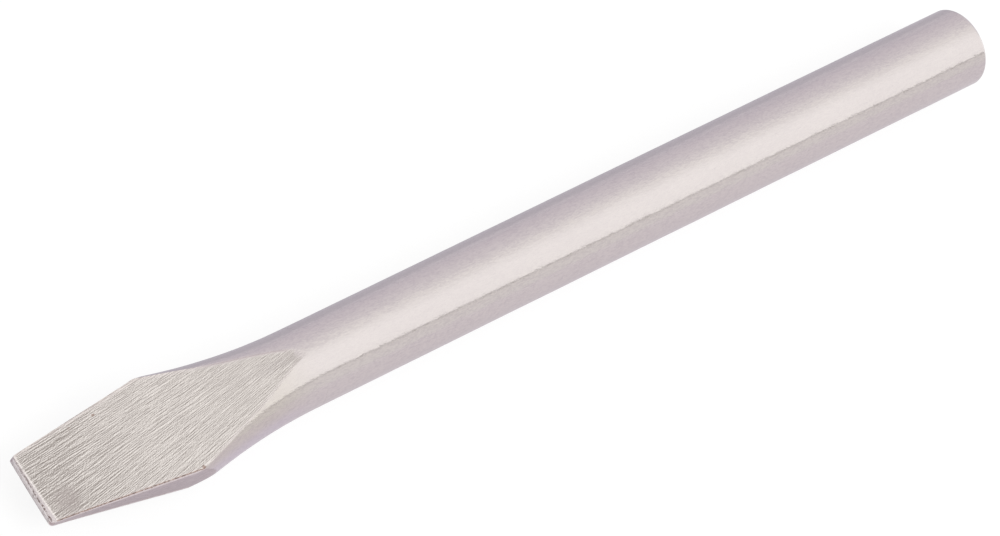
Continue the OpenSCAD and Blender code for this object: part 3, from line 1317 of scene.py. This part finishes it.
def mirrored_floor(tree):
    """The floor's colour as the steel mirrors it, with a painted shadow along the bar's far side and a
    painted pool of light off each end.
    """
    parts = parts_of(tree, tree.nodes.new("ShaderNodeTexCoord").outputs["Object"])
    sides = blended(tree, ranged(tree, parts["Y"], -FLOOR_SPREAD, FLOOR_SPREAD), FLOOR_NEAR, FLOOR_FAR_SHADED)
    sides = blended(tree, ranged(tree, parts["Y"], *FLOOR_REACH), sides, FLOOR_HORIZON)
    ahead = minus(tree, math_of(tree, "ABSOLUTE", parts["X"]), LIT_PATCH_AT[0] * MM)
    aside = minus(tree, parts["Y"], LIT_PATCH_AT[1] * MM)
    away = vector_of(tree, "LENGTH", vector_from(tree, ahead, aside), result="Value")
    patch = ranged(tree, away, LIT_PATCH_R[0] * MM, LIT_PATCH_R[1] * MM, 1.0, 0.0)
    return blended(tree, patch, sides, FLOOR_ENDS_LIT)


def floor_material():
    """A plain pale floor that shows white to the camera and keeps the object's shadow."""
    material = bpy.data.materials.new("pale_floor")
    material.use_nodes = True
    tree = material.node_tree
    tree.nodes.clear()
    glow = add(tree, "ShaderNodeEmission", {"Strength": FLOOR_GLOW})
    bright = add(tree, "ShaderNodeAddShader", {0: diffuse(tree, FLOOR_SHADOW), 1: glow.outputs[0]})
    colour = mirrored_floor(tree)
    dim = diffuse(tree, blended(tree, FLOOR_STEADY, colour, (0.0, 0.0, 0.0)))
    steady = add(tree, "ShaderNodeEmission", {"Color": colour, "Strength": FLOOR_STEADY})
    in_steel = add(tree, "ShaderNodeAddShader", {0: dim, 1: steady.outputs[0]})
    shown = by_ray(tree, diffuse(tree, FLOOR_GREY), bright.outputs[0], in_steel.outputs[0])
    out = tree.nodes.new("ShaderNodeOutputMaterial")
    tree.links.new(shown, out.inputs["Surface"])
    return material


def make_floor():
    """The surface that the chisel lies on."""
    mesh = bpy.data.meshes.new("floor")
    signs = [(-1, -1), (1, -1), (1, 1), (-1, 1)]
    corners = [(FLOOR_HALF * x, FLOOR_HALF * y, -FLOOR_GAP) for x, y in signs]
    mesh.from_pydata(corners, [], [(0, 1, 2, 3)])
    mesh.materials.append(floor_material())
    floor = bpy.data.objects.new("floor", mesh)
    bpy.context.scene.collection.objects.link(floor)


# What the bar mirrors, by the angle round its axis from straight up towards the near side, in degrees.
# The thin dark band at 59 to 61 is the dark line along the bar
SURROUND = [
    (-98, (0.665, 0.63, 0.69)),
    (-75, (0.75, 0.70, 0.755)),
    (-42, (0.85, 0.81, 0.84)),
    (-18, (1.01, 0.985, 0.975)),
    (-4, (1.12, 1.10, 1.09)),
    (12, (1.18, 1.16, 1.15)),
    (45, (1.16, 1.14, 1.13)),
    (58.2, (1.12, 1.10, 1.085)),
    (58.8, (0.50, 0.475, 0.465)),
    (60.5, (0.52, 0.495, 0.485)),
    (61.6, (0.855, 0.825, 0.815)),
    (100, (0.85, 0.82, 0.83)),
]
# The straight bar mirrors directions with this much of +X. Where the steel mirrors more of it, the soft
# box reaches lower, by this many degrees of the angle
BAR_MIRRORS_X = 0.589
BOX_SLANT = 85
# The light of the surroundings on matt things, and what the camera sees of them
PLAIN_LIGHT = 0.7
BACKDROP = 1.0


def background(tree, strength, colour=(1, 1, 1, 1)):
    """Light from all around."""
    return add(tree, "ShaderNodeBackground", {"Color": colour, "Strength": strength}).outputs[0]


def make_world():
    """White behind the object, plain light for its surroundings and a long soft box for gloss."""
    world = bpy.data.worlds.new("studio")
    bpy.context.scene.world = world
    world.use_nodes = True
    tree = world.node_tree
    tree.nodes.clear()
    toward = parts_of(tree, tree.nodes.new("ShaderNodeTexCoord").outputs["Generated"])
    angle = math_of(tree, "ARCTAN2", times(tree, toward["Y"], -1.0), toward["Z"])
    ahead = minus(tree, toward["X"], BAR_MIRRORS_X)
    angle = minus(tree, angle, times(tree, ahead, math.radians(BOX_SLANT)))
    share = plus(tree, ratio(tree, angle, 2 * math.pi), 0.5, clamp=True)
    ramp = add(tree, "ShaderNodeValToRGB", {0: share})
    stops = ramp.color_ramp.elements
    brightest = max(max(colour) for _, colour in SURROUND)
    while len(stops) < len(SURROUND):
        stops.new(0.5)
    # All places before the first colour, because the stops are kept in the order of their places
    for stop, (degrees, _) in zip(stops, SURROUND):
        stop.position = 0.5 + degrees / 360
    for stop, (_, colour) in zip(stops, SURROUND):
        stop.color = (*[c / brightest for c in colour], 1)
    soft_box = background(tree, brightest, ramp.outputs[0])
    shown = by_ray(tree, background(tree, PLAIN_LIGHT), background(tree, BACKDROP), soft_box)
    out = tree.nodes.new("ShaderNodeOutputWorld")
    tree.links.new(shown, out.inputs["Surface"])


def make_key_lamp():
    """One broad lamp above the near side. The bar mirrors the world's soft box in its place."""
    data = bpy.data.lights.new("soft_key", "AREA")
    data.shape = "RECTANGLE"
    data.size = 1.2
    data.size_y = 0.8
    data.energy = 5.0
    lamp = bpy.data.objects.new("soft_key", data)
    lamp.location = (0.1, -0.7, 1.1)
    aim = placed(LENGTH / 2, 0, 0) - lamp.location
    lamp.rotation_euler = aim.to_track_quat("-Z", "Y").to_euler()
    lamp.visible_glossy = False
    bpy.context.scene.collection.objects.link(lamp)


# ------------------------------------------------------------------ how true the image points are
# How much nearer than a point the surface may be, in millimetres, for the point to count as shown
SHOWN_SLACK = 0.3
# Where the halfway place of a wedge face's edges is
HALFWAY_X = (WEDGE_LEN + BLADE_END) / 2 - 6


def surface_tree(pieces):
    """A search tree of the finished surfaces of these pieces, and their points."""
    points, faces = [], []
    for piece in pieces:
        base = len(points)
        points += [piece.matrix_world @ v.co for v in piece.data.vertices]
        faces += [[base + i for i in face.vertices] for face in piece.data.polygons]
    return BVHTree.FromPolygons(points, faces), points


def shows(camera, tree, place):
    """Whether nothing of the forging hides a place from the camera."""
    start = camera.matrix_world.translation
    direction = (place - start).normalized()
    hit = tree.ray_cast(start, direction)
    return hit[0] is None or hit[3] > (place - start).length - SHOWN_SLACK * MM


def first_shown(camera, tree, places, order):
    """The image place of the first point in that order that shows."""
    seen = [(image_place(camera, place), place) for place in places]
    seen.sort(key=lambda pair: order(pair[0]))
    return next(at for at, place in seen if shows(camera, tree, place))


def measured_features(camera, tree, places):
    """Where each named feature of the finished forging shows."""
    upper = [p for p in places if p.z > axis_at]
    head = [p for p in places if p.x > placed(HEAD_START, 0, 0).x]

    def nearest(x, y, z):
        wanted = placed(x, y, z)
        return image_place(camera, min(upper, key=lambda p: (p - wanted).length_squared))

    def on_face_edge(x, side):
        top = half_thickness(x, 0)
        return nearest(x, side * half_width(x, top, side), top)

    def shoulder(side):
        steps = spread(HARD_END, BLADE_END, 0.1)
        widest = max(steps, key=lambda x: half_width(x, half_thickness(x, 0), side))
        return on_face_edge(widest, side)

    return {
        "far end of the cutting edge": on_face_edge(BEVEL_LEN, 1),
        "near end of the cutting edge": on_face_edge(BEVEL_LEN, -1),
        "far shoulder": shoulder(1),
        "near shoulder": shoulder(-1),
        "tip of the wedge face": nearest(WEDGE_LEN, 0, BAR_R),
        "wedge face's near edge, halfway": on_face_edge(HALFWAY_X, -1),
        "wedge face's far edge, halfway": on_face_edge(HALFWAY_X, 1),
        "top of the struck head": first_shown(camera, tree, head, lambda at: at[1]),
        "right of the struck head": first_shown(camera, tree, head, lambda at: -at[0]),
        "lower corner of the struck head": first_shown(camera, tree, head, lambda at: -at[1] - at[0]),
    }


def write_points(camera, tree, places, spots):
    """How far in x and y each thing shows from its image point, worked out and then left unused."""
    edges = {
        "left": first_shown(camera, tree, places, lambda at: at[0])[0],
        "right": first_shown(camera, tree, places, lambda at: -at[0])[0],
        "top": first_shown(camera, tree, places, lambda at: at[1])[1],
        "bottom": first_shown(camera, tree, places, lambda at: -at[1])[1],
    }
    found = measured_features(camera, tree, places)
    found.update((name, image_place(camera, place)) for name, place in spots.items())
    aimed = {**FEATURES, **RUST_SPOTS, **DULL_PATCHES}
    report = {name: round(at - OUTER_EDGES[name], 2) for name, at in edges.items()}
    for name, (x, y) in found.items():
        report[name] = [round(x - aimed[name][0], 2), round(y - aimed[name][1], 2)]


# ------------------------------------------------------------------ the chisel
for make_group in (marks_group, grain_group, drift_group, rust_group, freckle_group, line_group):
    make_group()
rusty_side_group()
skin_group()
camera = make_camera()
pieces = [
    ground_zone("cutting_edge", 0, HARD_END, "ground_blade"),
    ground_zone("blade", HARD_END, BLADE_END, "ground_blade"),
    ground_zone("neck", BLADE_END, FLARE_START, "forged_bar"),
    shank_piece(),
    head_piece(),
]
tree, places = surface_tree(pieces)
rust_places = {name: on_surface(camera, tree, x, y) for name, (x, y) in RUST_SPOTS.items()}
dull_places = {name: on_surface(camera, tree, x, y) for name, (x, y) in DULL_PATCHES.items()}

bar_skin = forged_skin()
ground_end = [wedge_face(rust_places.values(), dull_places.values()), flared_side(), honed_edge()]
finishes = [ground_end, ground_end, ground_end, [bar_skin], [bar_skin, struck_face()]]
for piece, materials in zip(pieces, finishes):
    for material in materials:
        piece.data.materials.append(material)

make_floor()
make_world()
make_key_lamp()
bpy.context.scene.view_settings.view_transform = "Standard"
write_points(camera, tree, places, {**rust_places, **dull_places})
